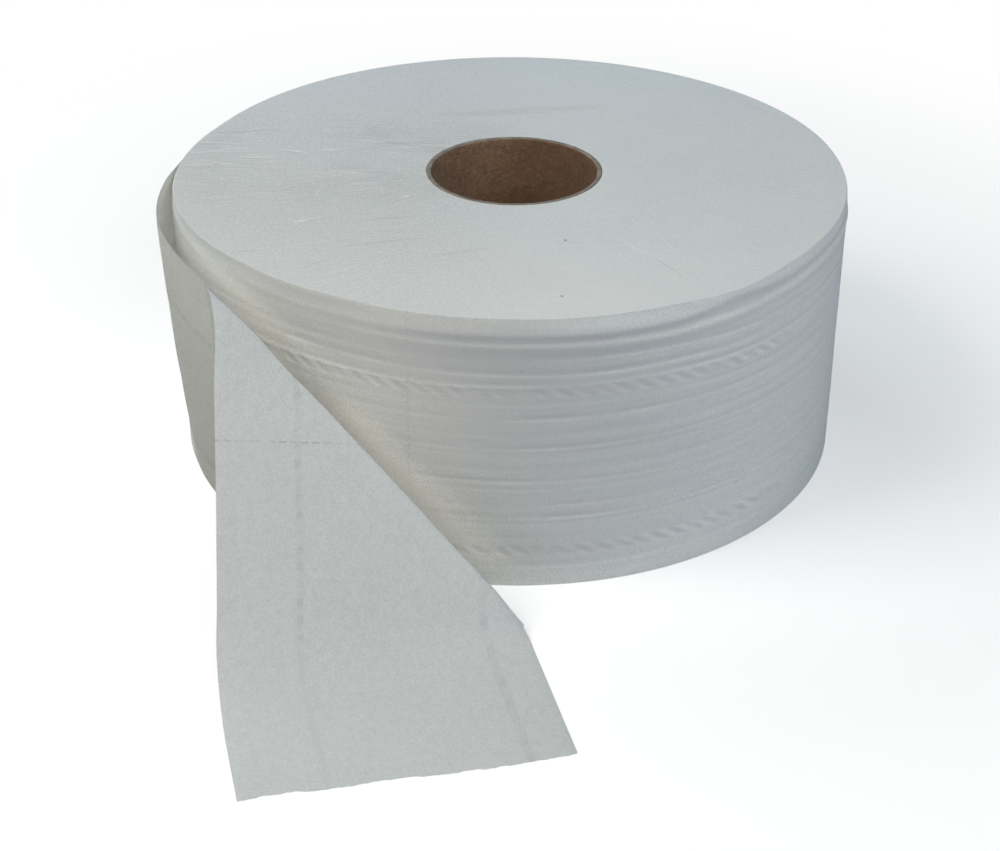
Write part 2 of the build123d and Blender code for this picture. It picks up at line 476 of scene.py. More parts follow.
def fold_rulings():
    """The fold, a soft bend that is tight at the apex and wider near the table."""
    line = CORNER - APEX
    entering = square_to(APEX - polar(ROLL_RADIUS + FOOT_GAP, APEX_ANGLE), line)
    leaving = square_to(LEFT_LANDING - APEX, line)
    crest = (entering - leaving).normalized()
    along = (entering + leaving).normalized()
    turn = math.acos(entering.dot(leaving))
    rulings = []
    for step in range(FOLD_STEPS + 1):
        angle = turn * (step / FOLD_STEPS - 0.5)
        swing = crest * (math.cos(angle) - 1) + along * math.sin(angle)
        rulings.append((CORNER + swing * FOLD_RADIUS_FOOT, APEX + swing * FOLD_RADIUS_TOP))
    return rulings


def gusset_rulings(start, end):
    """The standing stretch behind the tail: its foot moves out while its top hardly moves."""
    foot, head = end
    start_radius = ROLL_RADIUS + FOOT_GAP
    end_radius = math.hypot(foot.x, foot.y)
    start_angle = APEX_ANGLE - CORNER_EASE
    end_angle = math.degrees(math.atan2(foot.y, foot.x)) % 360
    rulings = []
    for step in range(1, GUSSET_STEPS):
        share = step / GUSSET_STEPS
        radius = start_radius + (end_radius - start_radius) * share**2
        angle = start_angle + (end_angle - start_angle) * share
        low = polar(radius, angle, start[0].z + foot.z * share**4)
        rulings.append((low, between(start[1], head, share)))
    return rulings


def tail_rulings(start):
    """The slope, its easy curve onto the table, and the stretch that lies flat."""
    right_start = RIGHT_LANDING + (start[0] - RIGHT_LANDING).normalized() * LANDING_EASE_RIGHT
    left_start = LEFT_LANDING + (start[1] - LEFT_LANDING).normalized() * LANDING_EASE_LEFT
    right_flat = RIGHT_LANDING + OUT * LANDING_EASE_RIGHT
    left_flat = LEFT_LANDING + OUT * LANDING_EASE_LEFT
    rulings = []
    for step in range(1, SLOPE_STEPS):
        share = (step / SLOPE_STEPS) ** 1.5
        down = share**0.4
        bow = LEFTWARDS * -SLOPE_BOW * math.sin(math.pi * down) * smooth(0.0, 0.2, down)
        high = between(start[1], left_start, share) + bow
        rulings.append((between(start[0], right_start, share), high))
    for step in range(LANDING_STEPS + 1):
        share = step / LANDING_STEPS
        low = eased(right_start, RIGHT_LANDING, right_flat, share)
        high = eased(left_start, LEFT_LANDING, left_flat, share)
        rulings.append((low, high))
    flat = rulings[-1]
    for step in range(1, FLAT_STEPS + 1):
        share = step / FLAT_STEPS
        rulings.append((between(flat[0], RIGHT_END, share), between(flat[1], LEFT_END, share)))
    return rulings


def web_rulings():
    """All rulings, and how many there are up to the middle of the fold."""
    turn, fold = turn_rulings(), fold_rulings()
    gusset = gusset_rulings(turn[-1], fold[0])
    standing = len(turn) + len(gusset) + FOLD_STEPS // 2
    return turn + gusset + fold + tail_rulings(fold[-1]), standing



TORN_REACH = 0.030  # how far from the torn end the paper is drawn along with it


def torn(across):
    """How far the torn end reaches past its straight line, in metres, at a place across it."""
    tooth = abs((across / SLIT_PITCH) % 1.0 - 0.5) * 2
    ragged = 0.55 * swell(across / 0.006, 0, 0, 21) + 0.35 * swell(across / 0.0017, 0, 0, 22)
    broad = 0.9 * swell(across / 0.035, 0.3, 0, 23)
    # The row broke a little further out in its right half
    broad += 1.1 * smooth(0.060, 0.036, across) + 0.9 * smooth(0.086, 0.072, across)
    broad -= 0.6 * smooth(0.012, 0.001, across)
    step = 0.5 * smooth(0.0925, 0.0932, across)
    return MM * (0.25 * (tooth > 0.7) + ragged + broad + step - 0.2)


def nudge(own_run, run, fold_run, apex_run, v):
    """How far the paper has crept from its straight lines, in metres along X.

    The first distance to the torn end is the point's own, the second its ruling's mean.
    """
    # The fold bulges to the right along its length, and its top corner is drawn to the left
    bulge = 1.3 * smooth(0.0, 0.12, v) * (1 - smooth(0.60, 0.95, v))
    across = bell(run, fold_run, 0.020) * (bulge - 0.9 * smooth(0.85, 1.0, v))
    # The slope's left edge is drawn in a little below the top corner
    across += 1.1 * smooth(0.6, 1.0, v) * bell(own_run, apex_run - 0.015, 0.012)
    # The standing stretch bellies out a little
    across -= 0.8 * math.sin(math.pi * v) * smooth(fold_run + 0.015, fold_run + 0.040, run)
    # The end that lies on the table is a little wider at both sides
    lying = 1 - smooth(0.0575, 0.0670 + 0.010 * v, own_run)
    across += lying * (1.05 * smooth(0.5, 0.0, v) - 0.8 * smooth(0.5, 1.0, v))
    return across * MM


def unit(vectors):
    return vectors / (np.linalg.norm(vectors, axis=-1, keepdims=True) + 1e-12)


def normals_of(centre):
    """The normals of a grid of points, from the directions to each point's neighbours."""
    along = unit(np.diff(centre, axis=0))
    along = unit(np.concatenate([along[:1], along[1:] + along[:-1], along[-1:]]))
    over = unit(np.diff(centre, axis=1))
    over = unit(np.concatenate([over[:, :1], over[:, 1:] + over[:, :-1], over[:, -1:]], axis=1))
    return unit(np.cross(along, over))


def travelled(points):
    """How far each point of a line is from the first one, along the line."""
    run = [0.0]
    for before, after in zip(points, points[1:]):
        run.append(run[-1] + (after - before).length)
    return run


EDGE_TAPER = 0.003  # how far in from its edges the paper grows thinner
TABLE_HEIGHT = 0.00001  # the lowest that any of it lies
SHARP_ANGLE = 50.0  # between faces that aren't shaded as one


def web_mesh():
    """The loose web with both its faces, its edges and its torn end, and its flat length."""
    rulings, standing = web_rulings()
    count, cols = len(rulings), WEB_COLUMNS + 1
    low_run, high_run = (travelled(edge) for edge in zip(*rulings))
    # How far both ends of each ruling are from the torn end
    ends = [(low_run[-1] - low, high_run[-1] - high) for low, high in zip(low_run, high_run)]
    fold_run, apex_run = sum(ends[standing]) / 2, ends[standing][1]
    centre = np.zeros((count, cols, 3))
    flat = np.zeros((count, cols, 2))
    for i, (low, high) in enumerate(rulings):
        for j in range(cols):
            v = j / WEB_COLUMNS
            run = ends[i][0] * (1 - v) + ends[i][1] * v
            place = between(low, high, v)
            if run < TORN_REACH:
                place = place + OUT * torn(v * WEB_WIDTH) * (1 - run / TORN_REACH) ** 2
            creep = nudge(run, sum(ends[i]) / 2, fold_run, apex_run, v)
            centre[i, j] = place + Vector((creep, 0.0, 0.0))
            flat[i, j] = (run, v * WEB_WIDTH)
    normal = normals_of(centre)
    # Soft waves, none at the root, and never down into the table
    for i in range(count):
        for j in range(cols):
            run, t = flat[i, j]
            amount = 0.45 * swell(run / 0.028, t / 0.034, 0, 24)
            amount += 0.18 * swell(run / 0.011, t / 0.012, 0, 25)
            amount *= smooth(0.0, 0.03, low_run[i]) * MM
            lying = 1 - smooth(0.0005, 0.006, centre[i, j, 2])
            centre[i, j] += normal[i, j] * amount * (1 - lying)
            from_edge = min(t, WEB_WIDTH - t, run)
            centre[i, j, 2] += lying * abs(amount) * 0.8 * min(1.0, from_edge / 0.012)
    normal = normals_of(centre)
    # The paper is pressed thinner towards its edges and its torn end, and lies flatter there
    inset = np.minimum(np.minimum(flat[..., 1], WEB_WIDTH - flat[..., 1]), flat[..., 0])
    full = np.clip(inset / EDGE_TAPER, 0.0, 1.0)[..., None]
    half = SHEET / 2 * THINNING * (0.1 + 0.9 * full)
    lying = np.clip((0.003 - centre[..., 2:]) / 0.002, 0.0, 1.0)
    centre[..., 2:] -= lying * (SHEET / 2 - half) * (1.0 - full)
    places = np.stack([centre + normal * half, centre - normal * half])
    places[..., 2] = np.maximum(places[..., 2], TABLE_HEIGHT)
    faces, uvs, rows = [], [], []

    def quad(spots, sides, turned):
        """A face over four spots of the grid, each on its front, 0, or its back, 1."""
        corners = list(zip(spots, sides))[:: -1 if turned else 1]
        faces.append([(side * count + i) * cols + j for (i, j), side in corners])
        uvs.extend(flat[spot] for spot, _ in corners)
        rows.append(spots[0][0])

    def edge(start, end, turned):
        quad((start, end, end, start), (0, 0, 1, 1), turned)

    for i in range(count - 1):
        for j in range(WEB_COLUMNS):
            spots = ((i, j), (i + 1, j), (i + 1, j + 1), (i, j + 1))
            quad(spots, (0, 0, 0, 0), False)
            quad(spots, (1, 1, 1, 1), True)
    for i in range(count - 1):
        for j in (0, WEB_COLUMNS):
            edge((i, j), (i + 1, j), j == 0)
    for j in range(WEB_COLUMNS):
        for i in (0, count - 1):
            edge((i, j), (i, j + 1), i > 0)
    mesh = quad_mesh("loose_web", places.reshape(-1, 3).tolist(), faces, uvs)
    mesh.polygons.foreach_set("material_index", [int(row < standing) for row in rows])
    mesh.set_sharp_from_angle(angle=math.radians(SHARP_ANGLE))
    return mesh, (low_run[-1] + high_run[-1]) / 2


# Materials


class Graph:
    """A material's nodes, where an input is another node's output or a plain value."""

    def __init__(self, name):
        self.material = bpy.data.materials.new(name)
        self.material.use_nodes = True
        self.tree = self.material.node_tree
        self.tree.nodes.clear()
        self.output = self.tree.nodes.new("ShaderNodeOutputMaterial")

    def set(self, socket, value):
        if isinstance(value, bpy.types.NodeSocket):
            self.tree.links.new(value, socket)
        elif value is not None:
            socket.default_value = value

    def node(self, kind, inputs=(), **settings):
        made = self.tree.nodes.new(kind)
        for key, value in settings.items():
            setattr(made, key, value)
        for key, value in dict(inputs).items():
            self.set(made.inputs[key], value)
        return made

    def math(self, operation, first, second=None, clamp=False):
        inputs = {0: first, 1: second}
        return self.node("ShaderNodeMath", inputs, operation=operation, use_clamp=clamp).outputs[0]

    def add(self, *values, operation="ADD"):
        total = values[0]
        for value in values[1:]:
            total = self.math(operation, total, value)
        return total

    def times(self, *values):
        return self.add(*values, operation="MULTIPLY")

    def minus(self, first, second):
        return self.math("SUBTRACT", first, second)

    def over(self, first, second):
        return self.math("DIVIDE", first, second)

    def apart(self, first, second):
        """How far apart two values are."""
        return self.math("ABSOLUTE", self.minus(first, second))

    def reach(self, x, y):
        return self.math("SQRT", self.add(self.times(x, x), self.times(y, y)))

    def wave(self, value, pitch):
        return self.math("SINE", self.times(value, math.tau / pitch))

    def step(self, value, low, high):
        """A smooth rise from 0 at low to 1 at high."""
        return self.node(
            "ShaderNodeMapRange",
            {"Value": value, "From Min": low, "From Max": high, "To Min": 0.0, "To Max": 1.0},
            interpolation_type="SMOOTHSTEP",
        ).outputs[0]

    def fall(self, value, low, high):
        """A smooth fall from 1 at low to 0 at high."""
        return self.minus(1.0, self.step(value, low, high))

    def spot(self):
        """The place in the object's own coordinates."""
        return self.node("ShaderNodeTexCoord").outputs["Object"]

    def flat(self):
        """The place on the flat paper or board."""
        return self.node("ShaderNodeUVMap", uv_map="flat").outputs[0]

    def vector(self, x, y, z=0.0):
        return self.node("ShaderNodeCombineXYZ", {"X": x, "Y": y, "Z": z}).outputs[0]

    def parts(self, vector):
        return self.node("ShaderNodeSeparateXYZ", {0: vector}).outputs

    def each(self, operation, first, second):
        """One operation on each part of two vectors or colours."""
        inputs = {0: first, 1: second}
        return self.node("ShaderNodeVectorMath", inputs, operation=operation).outputs[0]

    def stretched(self, vector, x, y, z):
        return self.each("MULTIPLY", vector, (x, y, z))

    def length(self, vector):
        return self.node("ShaderNodeVectorMath", {0: vector}, operation="LENGTH").outputs["Value"]

    def noise(self, vector, scale, detail=2.0, rough=0.5, distortion=0.0):
        inputs = {"Vector": vector, "Scale": scale, "Detail": detail}
        inputs.update({"Roughness": rough, "Distortion": distortion})
        return self.node("ShaderNodeTexNoise", inputs).outputs["Fac"]

    def mark(self, spot, start, end, half_width):
        """1 on the middle of a line in the XY plane, in millimetres, fading out around it."""
        (ax, ay), (bx, by) = start, end
        local = self.node(
            "ShaderNodeMapping",
            {
                "Vector": spot,
                "Location": (MM * (ax + bx) / 2, MM * (ay + by) / 2, 0.0),
                "Rotation": (0.0, 0.0, math.atan2(by - ay, bx - ax)),
                "Scale": (MM * math.hypot(bx - ax, by - ay) / 2, MM * half_width, 1000.0),
            },
            vector_type="TEXTURE",
        ).outputs[0]
        return self.fall(self.length(local), 0.15, 1.0)

    def crests(self, value, width):
        """Thin lines where a noise crosses its middle."""
        return self.fall(self.apart(value, 0.5), 0.0, width)

    def mix(self, share, first, second):
        """A mix of two colours; one given as numbers is its red, green and blue."""
        mixed = self.node("ShaderNodeMix", {"Factor": share}, data_type="RGBA")
        for index, color in ((6, first), (7, second)):
            self.set(mixed.inputs[index], (*color, 1) if isinstance(color, tuple) else color)
        return mixed.outputs[2]

    def layers(self, shade, *layers):
        """A colour with others mixed in one by one: how far each shows, its strength, itself."""
        for amount, strength, color in layers:
            shade = self.mix(self.times(amount, strength), shade, color)
        return shade

    def weighed(self, *terms):
        """The sum of values times their weights."""
        return self.add(*[self.times(value, weight) for value, weight in terms])

    def bump(self, height, distance, strength):
        inputs = {"Height": height, "Distance": distance, "Strength": strength}
        return self.node("ShaderNodeBump", inputs).outputs[0]

    def glow(self, strength):
        inputs = {"Color": (1, 1, 1, 1), "Strength": strength}
        return self.node("ShaderNodeEmission", inputs).outputs[0]

    def blend(self, share, first, second):
        """A mix of two shaders."""
        mixed = self.node("ShaderNodeMixShader", {0: share})
        self.tree.links.new(first, mixed.inputs[1])
        self.tree.links.new(second, mixed.inputs[2])
        return mixed.outputs[0]

    def finish(self, color, normal, rough, sheen=0.0, through=0.0):
        """The shader, with the share of the light that goes through to the other face."""
        shader = self.node(
            "ShaderNodeBsdfPrincipled",
            {"Base Color": color, "Roughness": rough, "Normal": normal, "Specular IOR Level": 0.25},
        )
        if sheen:
            shader.inputs["Sheen Weight"].default_value = sheen
            shader.inputs["Sheen Roughness"].default_value = 0.6
        surface = shader.outputs[0]
        if through:
            lit = self.node("ShaderNodeBsdfTranslucent", {"Color": color, "Normal": normal})
            surface = self.blend(through, surface, lit.outputs[0])
        self.tree.links.new(surface, self.output.inputs[0])
        return self.material


WHITE = (1.0, 1.0, 1.0)
# A light grey for painted highlights
BRIGHT = (0.97, 0.97, 0.97)
# Bluish greys: pressed paper partly painted shade, and painted shade along the sawn streaks
PRESSED_AND_SHADE = (0.511, 0.54, 0.568)
STREAK_SHADE = (0.511, 0.554, 0.568)


def bonded_lines(g, run, across, loose):
    """The two lines of ply bonding: where the paper is pressed, and the small lozenges in it."""
    wide = g.vector(run, across)
    height = g.add(across, g.times(g.minus(g.noise(wide, 22.0, 1.0), 0.5), 0.0016))
    slant = g.times(across, 0.9)
    up, down = (g.wave(along, LOZENGE_PITCH) for along in (g.add(run, slant), g.minus(run, slant)))
    patch = g.noise(g.stretched(wide, 1.0, 0.4, 1.0), 130.0, 1.0)
    bands, knurls = [], []
    for level, spotted in ((BOND_LOW, False), (BOND_HIGH, loose)):
        half = 0.0008 if spotted else 0.0011
        band = g.fall(g.apart(height, level), half, half + 0.0005)
        up_share, down_share = 0.27, 0.23
        if spotted:
            group = g.wave(g.add(run, g.times(across, 0.3)), SPOT_PITCH)
            spots = g.step(g.add(g.times(group, 0.25), patch), 0.50, 0.75)
            spots = g.times(spots, g.step(run, 0.048, 0.075), 0.60)
            strength = g.add(spots, g.times(patch, 0.40), 0.12)
        else:
            group = g.wave(g.add(run, g.times(across, 0.7)), GROUP_PITCH)
            groups = g.step(g.add(g.times(group, 0.22), patch), 0.30, 0.75)
            strength = g.add(g.times(groups, 0.50), 0.50)
            if loose:
                strength = g.times(strength, g.add(g.times(patch, 0.7), 0.30))
                up_share, down_share = 0.5, 0.0
        knurl = g.add(g.times(up, up_share), g.times(down, down_share), 0.5)
        bands.append(g.times(band, strength))
        knurls.append(g.times(band, strength, knurl))
    return g.add(*bands), g.add(*knurls)


def perforation(g, run, across, skew):
    """Rows of short cuts across the web, one row for each sheet, that many degrees off square."""
    skewed = g.add(run, g.times(g.minus(WEB_WIDTH, across), math.tan(math.radians(skew))))
    along_row = g.math("FRACT", g.over(across, SLIT_PITCH))
    dash = g.times(g.step(along_row, 0.10, 0.20), g.fall(along_row, 0.72, 0.84))
    place = g.math("FRACT", g.minus(g.over(skewed, SHEET_LENGTH), 0.5))
    line = g.fall(g.times(g.apart(place, 0.5), SHEET_LENGTH), 0.00010, 0.00040)
    open_here = g.step(g.noise(g.vector(run, across), 90.0, 2.0), 0.30, 0.62)
    return g.times(line, g.add(g.times(dash, 0.9), 0.1), g.add(g.times(open_here, 0.7), 0.3))


def paper_tone(g, wide, spot, white, mottled):
    """The paper's uneven colour times white, and its crepe, fibres and mottle."""

    def tone(*color):
        return tuple(level * value for level, value in zip(white, color))

    crepe = g.noise(g.stretched(wide, 1.0, 0.8, 1.0), 1500.0, 3.0, 0.62)
    fibre = g.noise(wide, 1150.0, 3.0, 0.62, 0.3)
    cloud = g.noise(spot, 26.0, 3.0, 0.55)
    fleck = g.noise(spot, 900.0, 2.0, 0.6)
    mottle = g.noise(wide, 330.0, 3.0, 0.6, 0.2)
    shade = g.layers(
        g.mix(g.step(cloud, 0.3, 0.72), tone(0.781, 0.798, 0.795), tone(0.816, 0.828, 0.818)),
        (g.step(fibre, 0.42, 0.62), 0.75, tone(0.902, 0.912, 0.897)),
        (g.step(crepe, 0.52, 0.36), 0.60, tone(0.696, 0.71, 0.71)),
        (g.step(fleck, 0.60, 0.78), 0.25, (0.611, 0.639, 0.653)),
        (g.step(mottle, 0.52, 0.66), mottled, tone(0.93, 0.94, 0.93)),
        (g.step(mottle, 0.48, 0.34), mottled, tone(0.66, 0.68, 0.685)),
    )
    return shade, crepe, fibre, mottle


# Small dark hairs on the front of the side: distance round the roll and height, in millimetres
TICKS = (
    ((566.5, 82.6), (568.0, 81.2)),
    ((570.6, 83.6), (571.2, 82.6)),
    ((559.0, 95.2), (559.4, 94.8)),
)


def side_strokes(g, shade, run, across, kept):
    """Broad strokes along both lines of bonding, with a painted highlight and painted shade."""
    slant = g.wave(g.add(run, g.times(across, 1.6)), STROKE_PITCH)
    patch = g.step(g.noise(g.vector(run, across), 90.0, 1.0), 0.32, 0.52)
    for level, strength in ((BOND_LOW, 0.85), (BOND_HIGH, 1.0)):
        here = g.times(g.fall(g.apart(across, level), 0.0013, 0.0027), patch, kept, strength)
        light = (g.times(g.step(slant, 0.0, 0.8), here), 0.60, (0.97, 0.96, 0.94))
        dark = (g.times(g.step(slant, -0.2, -0.9), here), 0.26, PRESSED_AND_SHADE)
        shade = g.layers(shade, light, dark)
    return shade


def side_light(g, shade, flat):
    """The side's painted shade and light, a painted warm cast of light, and the hairs on it."""
    painted_shade = g.node("ShaderNodeAttribute", attribute_name="painted_shade").outputs["Fac"]
    painted_shade_share = g.math("MULTIPLY", painted_shade, 0.40, clamp=True)
    light = g.math("MULTIPLY", painted_shade, -0.40, clamp=True)
    # Painted shade mixes in a bluish grey, and painted light brightens the paper
    shade = g.mix(painted_shade_share, shade, (0.535, 0.548, 0.572))
    shade = g.each("MULTIPLY", shade, g.mix(light, WHITE, (1.24, 1.19, 1.15)))
    # A warm cast of light is painted at the left of the front
    aside = g.apart(g.parts(flat)[0], WARM_LIGHT_RUN)
    painted_warm_light = g.mix(g.step(aside, 0.030, 0.075), (1.0, 0.983, 0.955), WHITE)
    shade = g.each("MINIMUM", g.each("MULTIPLY", shade, painted_warm_light), WHITE)
    hairs = [g.mark(flat, start, end, 0.4) for start, end in TICKS]
    return g.layers(shade, *[(hair, 0.5, (0.36, 0.37, 0.38)) for hair in hairs])


# The stretches of paper: whether they are loose, the tint of their white, which is painted shade
# on the tail and painted light on the standing stretch, the strength of their mottle, how dark
# perforations look, and the share of the light that goes through. The loose stretches lose a
# little of their light to their other side.
STRETCHES = {
    "side": (False, WHITE, 0.15, 0.12, 0.0),
    "tail": (True, (0.97, 0.967, 0.967), 0.25, 0.27, 0.15),
    "standing": (True, (1.06, 1.033, 1.0), 0.25, 0.12, 0.53),
}


def web_material(stretch):
    """The paper of one stretch of the web."""
    g = Graph("tissue_" + stretch)
    loose, white, mottled, row_dark, through = STRETCHES[stretch]
    flat, spot = g.flat(), g.spot()
    parts = g.parts(flat)
    run, across = parts[0], parts[1]
    if not loose:
        # One of the rows of perforations shows on the side
        start = (math.radians(ROW_ANGLE) * ROLL_RADIUS) % SHEET_LENGTH - SHEET_LENGTH
        run = g.minus(run, start)
    bonded, pressed = bonded_lines(g, run, across, loose)
    row = perforation(g, run, across, ROW_SKEW if loose else 0.0)
    if not loose:
        kept = g.step(g.apart(parts[0], WORN_RUN), 0.010, 0.034)
        bonded, pressed = g.times(bonded, kept), g.times(pressed, kept)
        from_front = g.apart(run, 5 * SHEET_LENGTH)
        row = g.times(row, g.minus(1.0, g.times(g.step(from_front, 0.02, 0.05), 0.8)))
    shade, crepe, fibre, mottle = paper_tone(g, g.vector(run, across), spot, white, mottled)
    if loose:
        slope = g.times(g.step(run, 0.045, 0.080), g.fall(run, 0.12, 0.17))
        # Painted light: bluer all over, warmer on the slope, lighter where the tail lies flat
        shade = g.layers(
            g.mix(0.10, shade, (0.93, 0.99, 1.0)),
            (slope, 0.12, (0.97, 0.89, 0.84)),
            (g.fall(run, 0.030, 0.075), 0.16, (0.98, 0.99, 1.0)),
        )
    # Raised paper gets a painted highlight; pressed paper is greyer, partly from painted shade
    light, dark = (0.40, 0.62) if loose else (1.0, 0.75)
    raised = g.minus(bonded, pressed)
    shade = g.layers(shade, (raised, light, BRIGHT), (pressed, dark, PRESSED_AND_SHADE))
    if not loose:
        shade = side_strokes(g, shade, run, across, kept)
    shade = g.layers(shade, (row, row_dark, (0.312, 0.327, 0.355)))
    relief = g.weighed(
        (pressed, -0.8), (bonded, -0.2), (row, -0.9), (fibre, 0.9), (crepe, 0.55), (mottle, 0.6)
    )
    if not loose:
        shade = side_light(g, shade, flat)
        # Fine hoops where single turns stand proud or sunk
        hoops = g.noise(g.stretched(spot, 3.0, 3.0, 420.0), 1.0, 3.0, 0.6)
        relief = g.add(relief, g.times(hoops, 0.55))
    if stretch == "standing":
        # Near its root the web lies against the roll, which stops the light that goes through
        through = g.times(g.fall(run, 0.270, 0.293), through)
    return g.finish(shade, g.bump(relief, 0.00022, 0.8), 0.93, 0.10, through)


# Single marks on the upper sawn face, in millimetres, each from one place to another: its painted
# highlight (or painted shade, when below 0), how far it stands up, and its half-width
CREASES = (
    ((-76.5, -46.8), (-60.0, -38.8), 0.32, 0.12, 0.8),
    ((-76.5, -47.0), (-70.5, -44.4), 0.56, 0.09, 1.6),
    ((-75.5, -47.6), (-59.0, -40.0), -0.08, -0.08, 0.8),
    ((-40.0, -25.6), (-36.0, -23.8), 0.80, 0.12, 1.5),
    ((-37.5, -24.0), (-33.5, -21.6), 0.32, 0.06, 0.8),
    ((-40.0, -27.0), (-34.5, -23.8), -0.08, -0.08, 0.8),
    ((-88.0, 19.2), (-73.5, 14.2), 0.88, 0.18, 0.8),
    ((-87.0, 17.7), (-74.0, 13.0), -0.11, -0.08, 0.8),
    ((-74.0, 17.8), (-60.0, 19.2), 0.88, 0.18, 0.8),
    ((-73.5, 16.5), (-42.0, 21.5), -0.14, -0.16, 0.8),
    ((-106.0, 11.2), (-84.0, 10.9), 0.80, 0.18, 0.8),
    ((-105.0, 9.8), (-85.0, 9.4), -0.11, -0.08, 0.8),
    ((-113.0, 6.8), (-96.0, 3.0), 0.56, 0.12, 0.8),
    ((-120.0, 33.5), (-82.0, 39.6), -0.16, -0.20, 1.2),
    ((-109.0, 31.8), (-93.0, 31.8), 0.48, 0.09, 0.8),
    ((-99.0, 27.2), (-89.0, 26.2), 0.45, 0.09, 0.7),
    ((-70.5, -27.5), (-68.4, -15.0), 0.45, 0.09, 0.6),
    ((-97.5, -26.3), (-93.0, -25.5), -0.18, -0.16, 0.6),
    ((-80.0, -2.6), (-53.0, -6.4), 0.48, 0.12, 0.7),
    ((-64.0, -2.4), (-48.0, -4.6), 0.48, 0.12, 0.7),
    ((-62.0, -46.4), (-25.0, -39.4), -0.14, -0.18, 0.9),
    ((-64.0, -68.0), (-24.0, -56.6), -0.15, -0.20, 1.0),
    ((-35.0, -76.0), (-2.0, -64.0), -0.14, -0.18, 1.0),
    ((-100.6, -72.0), (-76.2, -68.0), -0.10, -0.16, 1.0),
    ((-74.5, -86.4), (-53.2, -69.2), -0.10, -0.16, 1.0),
    ((34.0, -56.0), (45.0, -74.0), 0.29, 0.09, 1.2),
    ((44.0, -69.0), (58.0, -94.0), -0.08, -0.12, 1.2),
    ((48.0, -56.0), (56.0, -73.0), 0.24, 0.07, 1.2),
    ((16.5, -59.8), (17.5, -61.7), -1.00, -0.08, 0.8),
    ((14.6, -102.5), (15.2, -104.5), -1.00, -0.08, 0.7),
)


# Where the streaks of the sawn face fan out from, in metres
FAN_X = 0.081
FAN_Y = 0.015


def sawn_material():
    """The sawn face, where the blade dragged the turns' edges into long soft streaks."""
    g = Graph("sawn_tissue")
    spot = g.spot()
    parts = g.parts(spot)
    x, y = parts[0], parts[1]
    fan_x, fan_y = g.minus(x, FAN_X), g.minus(y, FAN_Y)
    angle = g.math("ARCTAN2", fan_y, g.times(fan_x, -1.0))
    fan = g.vector(g.times(angle, 46.0), g.times(g.reach(fan_x, fan_y), 18.0))
    leftness = g.fall(x, -0.045, 0.030)
    backness = g.step(y, -0.050, 0.005)
    smooth_back = g.step(y, 0.036, 0.052)
    clumps = g.step(g.noise(spot, 30.0, 2.0), 0.36, 0.62)
    drag = g.noise(fan, 1.0, 2.0, 0.5, 0.15)
    fine = g.noise(fan, 2.0, 1.2, 0.5, 0.1)
    often = g.add(g.times(backness, 0.7), 0.3, g.times(smooth_back, -0.85))
    lines = g.times(leftness, clumps, often)
    light_lines = g.times(lines, g.crests(fine, 0.10))
    dark_lines = g.times(lines, g.crests(g.add(fine, -0.055), 0.06))
    folds = g.times(leftness, g.crests(drag, 0.05), g.minus(1.0, smooth_back))
    level = g.noise(g.vector(g.times(x, 24.0), g.times(y, 260.0), 3.0), 1.0, 2.0, 0.5, 0.3)
    broad = g.noise(spot, 34.0, 3.0, 0.55)
    crumple = g.noise(spot, 75.0, 3.0, 0.6, 1.2)
    turns = g.noise(g.vector(g.reach(x, y), 0.0), 1500.0, 3.0, 0.7)
    grain = g.noise(spot, 900.0, 3.0, 0.6)
    speck = g.noise(spot, 330.0, 1.0)
    shade = g.layers(
        g.mix(g.step(broad, 0.3, 0.7), (0.762, 0.795, 0.805), (0.797, 0.823, 0.826)),
        # Painted shade at the left
        (leftness, 0.90, (0.675, 0.69, 0.69)),
        # Painted cool light towards the back
        (g.step(y, -0.01, 0.11), 0.42, (0.752, 0.838, 0.945)),
        # Painted shade in the dragged streaks
        (g.times(g.step(drag, 0.50, 0.34), leftness), 0.06, (0.596, 0.639, 0.653)),
        (g.step(grain, 0.42, 0.62), 0.45, (0.909, 0.926, 0.92)),
        # Painted highlight and painted shade along the streaks and folds
        (light_lines, 0.36, BRIGHT),
        (dark_lines, 0.24, STREAK_SHADE),
        (folds, 0.06, STREAK_SHADE),
        (g.step(speck, 0.82, 0.86), 0.6, (0.398, 0.412, 0.398)),
        # Painted light towards the front
        (g.step(y, -0.02, -0.12), 0.30, (0.97, 0.965, 0.935)),
    )
    relief = g.weighed(
        (light_lines, 0.26),
        (dark_lines, -0.16),
        (g.times(leftness, clumps, drag), 0.15),
        (level, 0.12),
        (crumple, 0.40),
        (turns, 0.06),
        (grain, 0.14),
    )
    # Each mark gets its painted highlight or painted shade, and its relief
    for start, end, tone, height, half in CREASES:
        at = g.mark(spot, start, end, half)
        paint = BRIGHT if tone > 0 else (0.312, 0.341, 0.341)
        shade = g.layers(shade, (at, abs(tone), paint))
        relief = g.add(relief, g.times(at, height))
    # A grey rub behind the core
    rub_x = g.over(g.minus(x, 0.004), 0.046)
    rub_y = g.over(g.minus(y, g.add(0.0585, g.times(x, 0.17))), 0.0050)
    rub = g.fall(g.add(g.times(rub_x, rub_x), g.times(rub_y, rub_y)), 0.0, 1.0)
    rub = g.times(rub, g.step(level, 0.30, 0.60))
    shade = g.layers(shade, (rub, 0.30, (0.54, 0.582, 0.568)))
    return g.finish(shade, g.bump(relief, 0.0010, 0.8), 0.92, 0.08)


# The seam between the core's spiral-wound strips, in metres: its rise, and how far it climbs for
# each metre round the core
SEAM_RISE = 0.124
SEAM_CLIMB = 0.62


